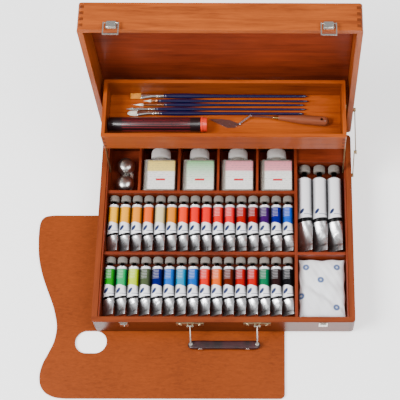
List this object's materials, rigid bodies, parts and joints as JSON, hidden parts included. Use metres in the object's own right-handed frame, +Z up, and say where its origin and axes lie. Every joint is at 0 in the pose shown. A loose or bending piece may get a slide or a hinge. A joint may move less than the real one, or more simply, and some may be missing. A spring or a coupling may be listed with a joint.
{
  "type": "wooden paint box",
  "caption": "Wooden paint box with lift-up brush tray on parallel arms, folding lid stay, partitioned case, carry handle, draw latches and a loose palette.",
  "frame": {"origin": "palette underside, on the case's centre line in X and Y", "axes": "+Z up, +X to the right along the lid axis, -Y to the front with the handle"},
  "size_m": [0.5327, 0.4971, 0.3938],
  "materials": {
    "case_wood": "orange-brown satin varnish",
    "lid_wood": "orange-brown satin varnish",
    "inner_wood": "red-brown satin varnish",
    "tray_wood": "orange-brown satin varnish",
    "palette_wood": "varnished fine-grained board",
    "nickel": "nickel plated",
    "brass_strip": "satin strip",
    "dark_leather": "smooth dark brown",
    "tube_metal": "satin, with printed colour bands",
    "grey_cap": "ribbed warm grey",
    "clear_glass": "clear with a paper label",
    "satin_steel": "satin",
    "white_cloth": "soft white pouch",
    "navy_lacquer": "gloss navy lacquer",
    "hair": "brush hair",
    "brass_ferrule": "polished",
    "brown_wood": "varnished brown",
    "dark_plastic": "dark tube with dull red bands",
    "red_plastic": "bright red"
  },
  "bodies": {
    "case": {"case_front_board": "case_wood", "case_back_board": "case_wood", "case_left_board": "case_wood", "case_right_board": "case_wood", "case_bottom_panel": "inner_wood", "side_liners": "inner_wood", "raised_tube_floor": "inner_wood", "back_cross_divider": "inner_wood", "front_cross_divider": "inner_wood", "long_divider": "inner_wood", "bottle_partitions": "inner_wood", "column_rails": "inner_wood", "column_floor": "inner_wood", "case_hinge_leaves": "nickel", "latch_catches": "nickel", "handle_brackets": "nickel"},
    "lid": {"lid_front_board": "lid_wood", "lid_back_board": "lid_wood", "lid_left_board": "lid_wood", "lid_right_board": "lid_wood", "lid_panel": "inner_wood", "lid_hinge_leaves": "nickel", "latch_bases": "nickel"},
    "left_lever": {"left_latch_lever": "nickel"},
    "left_bail": {"left_latch_bail": "nickel"},
    "right_lever": {"right_latch_lever": "nickel"},
    "right_bail": {"right_latch_bail": "nickel"},
    "stay_lower": {"stay_lower_link": "brass_strip"},
    "stay_upper": {"stay_upper_link": "brass_strip"},
    "front_arms": {"front_arms": "brass_strip"},
    "rear_arms": {"rear_arms": "brass_strip"},
    "tray": {"tray_front_board": "tray_wood", "tray_back_board": "tray_wood", "tray_left_board": "tray_wood", "tray_right_board": "tray_wood", "tray_floor": "tray_wood"},
    "handle": {"handle_links": "nickel", "handle_grip": "dark_leather"},
    "palette": {"palette": "palette_wood"},
    "back_tubes": {"back_row_tubes": "tube_metal"},
    "back_caps": {"back_row_caps": "grey_cap"},
    "front_tubes": {"front_row_tubes": "tube_metal"},
    "front_caps": {"front_row_caps": "grey_cap"},
    "large_tubes": {"large_tubes": "tube_metal"},
    "large_caps": {"large_tube_caps": "grey_cap"},
    "bottles": {"bottles": "clear_glass"},
    "bottle_caps": {"bottle_caps": "grey_cap"},
    "dipper": {"dipper_cups": "satin_steel"},
    "dipper_lids": {"dipper_lids": "satin_steel"},
    "bag": {"cloth_bag": "white_cloth"},
    "brushes": {"brush_handles": "navy_lacquer", "brush_ferrules": "satin_steel", "brush_bristles": "hair"},
    "knife": {"knife_blade": "satin_steel", "knife_ferrule": "brass_ferrule", "knife_handle": "brown_wood"},
    "dark_tube": {"dark_tube": "dark_plastic"},
    "dark_cap": {"dark_tube_cap": "red_plastic"}
  },
  "joints": [
    {"name": "lid_hinge", "type": "hinge", "parent": "case", "child": "lid", "pos_m": [0, 0.168, 0.05545], "axis": [1, 0, 0], "range_deg": [0, 91.2]},
    {"name": "front_arm_pivot", "type": "hinge", "parent": "case", "child": "front_arms", "pos_m": [0, 0.101, 0.0479], "axis": [1, 0, 0], "range_deg": [0, 93]},
    {"name": "rear_arm_pivot", "type": "hinge", "parent": "case", "child": "rear_arms", "pos_m": [0, 0.1495, 0.0495], "axis": [1, 0, 0], "range_deg": [0, 93]},
    {"name": "tray_pivot", "type": "hinge", "parent": "front_arms", "child": "tray", "pos_m": [0, 0.1201, 0.15623], "axis": [1, 0, 0], "range_deg": [-93, 0]},
    {"name": "stay_lower_pivot", "type": "hinge", "parent": "case", "child": "stay_lower", "pos_m": [0.21, 0.0972, 0.0396], "axis": [1, 0, 0], "range_deg": [0, 78.7]},
    {"name": "stay_upper_pivot", "type": "hinge", "parent": "lid", "child": "stay_upper", "pos_m": [0.21, 0.1925, 0.0959], "axis": [1, 0, 0], "range_deg": [-86.7, 0]},
    {"name": "left_lever_hinge", "type": "hinge", "parent": "lid", "child": "left_lever", "pos_m": [-0.159, 0.17839, 0.39131], "axis": [1, 0, 0], "range_deg": [0, 150]},
    {"name": "left_bail_hinge", "type": "hinge", "parent": "left_lever", "child": "left_bail", "pos_m": [-0.159, 0.18421, 0.39258], "axis": [1, 0, 0], "range_deg": [-150, 0]},
    {"name": "right_lever_hinge", "type": "hinge", "parent": "lid", "child": "right_lever", "pos_m": [0.159, 0.17839, 0.39131], "axis": [1, 0, 0], "range_deg": [0, 150]},
    {"name": "right_bail_hinge", "type": "hinge", "parent": "right_lever", "child": "right_bail", "pos_m": [0.159, 0.18421, 0.39258], "axis": [1, 0, 0], "range_deg": [-150, 0]},
    {"name": "handle_swing", "type": "hinge", "parent": "case", "child": "handle", "pos_m": [0, -0.169, 0.0473], "axis": [1, 0, 0], "range_deg": [-115, 0]},
    {"name": "palette_pull", "type": "slide", "parent": "case", "child": "palette", "axis": [0, -1, 0], "range_m": [0, 0.32]},
    {"name": "back_tubes_lift", "type": "slide", "parent": "case", "child": "back_tubes", "axis": [0, 0, -1], "range_m": [-0.05, 0]},
    {"name": "front_tubes_lift", "type": "slide", "parent": "case", "child": "front_tubes", "axis": [0, 0, -1], "range_m": [-0.12, 0]},
    {"name": "back_caps_pull", "type": "slide", "parent": "back_tubes", "child": "back_caps", "axis": [0, 1, 0], "range_m": [0, 0.0009]},
    {"name": "front_caps_pull", "type": "slide", "parent": "front_tubes", "child": "front_caps", "axis": [0, 1, 0], "range_m": [0, 0.0009]},
    {"name": "large_tubes_lift", "type": "slide", "parent": "case", "child": "large_tubes", "axis": [0, 0, -1], "range_m": [-0.05, 0]},
    {"name": "large_caps_pull", "type": "slide", "parent": "large_tubes", "child": "large_caps", "axis": [0, 1, 0], "range_m": [0, 0.0015]},
    {"name": "bottles_lift", "type": "slide", "parent": "case", "child": "bottles", "axis": [0, 0, -1], "range_m": [-0.05, 0]},
    {"name": "bottle_caps_pull", "type": "slide", "parent": "bottles", "child": "bottle_caps", "axis": [0, 1, 0], "range_m": [0, 0.008]},
    {"name": "dipper_lift", "type": "slide", "parent": "case", "child": "dipper", "axis": [0, 0, -1], "range_m": [-0.05, 0]},
    {"name": "dipper_lids_lift", "type": "slide", "parent": "dipper", "child": "dipper_lids", "axis": [0, 0, -1], "range_m": [-0.05, 0]},
    {"name": "bag_lift", "type": "slide", "parent": "case", "child": "bag", "axis": [0, 0, -1], "range_m": [-0.12, 0]},
    {"name": "brushes_lift", "type": "slide", "parent": "tray", "child": "brushes", "axis": [0, 0, -1], "range_m": [-0.12, 0]},
    {"name": "knife_lift", "type": "slide", "parent": "tray", "child": "knife", "axis": [0, 0, -1], "range_m": [-0.12, 0]},
    {"name": "dark_tube_lift", "type": "slide", "parent": "tray", "child": "dark_tube", "axis": [0, 0, -1], "range_m": [-0.12, 0]},
    {"name": "dark_cap_pull", "type": "slide", "parent": "dark_tube", "child": "dark_cap", "axis": [1, 0, 0], "range_m": [0, 0.02]}
  ],
  "couplings": [
    {"joint": "front_arm_pivot", "follows": "lid_hinge", "ratio": 1.0197},
    {"joint": "rear_arm_pivot", "follows": "lid_hinge", "ratio": 1.0197},
    {"joint": "tray_pivot", "follows": "lid_hinge", "ratio": -1.0197},
    {"joint": "stay_lower_pivot", "follows": "lid_hinge", "ratio": 0.8624},
    {"joint": "stay_upper_pivot", "follows": "lid_hinge", "ratio": -0.9499},
    {"joint": "left_bail_hinge", "follows": "left_lever_hinge", "ratio": -1},
    {"joint": "right_bail_hinge", "follows": "right_lever_hinge", "ratio": -1}
  ]
}
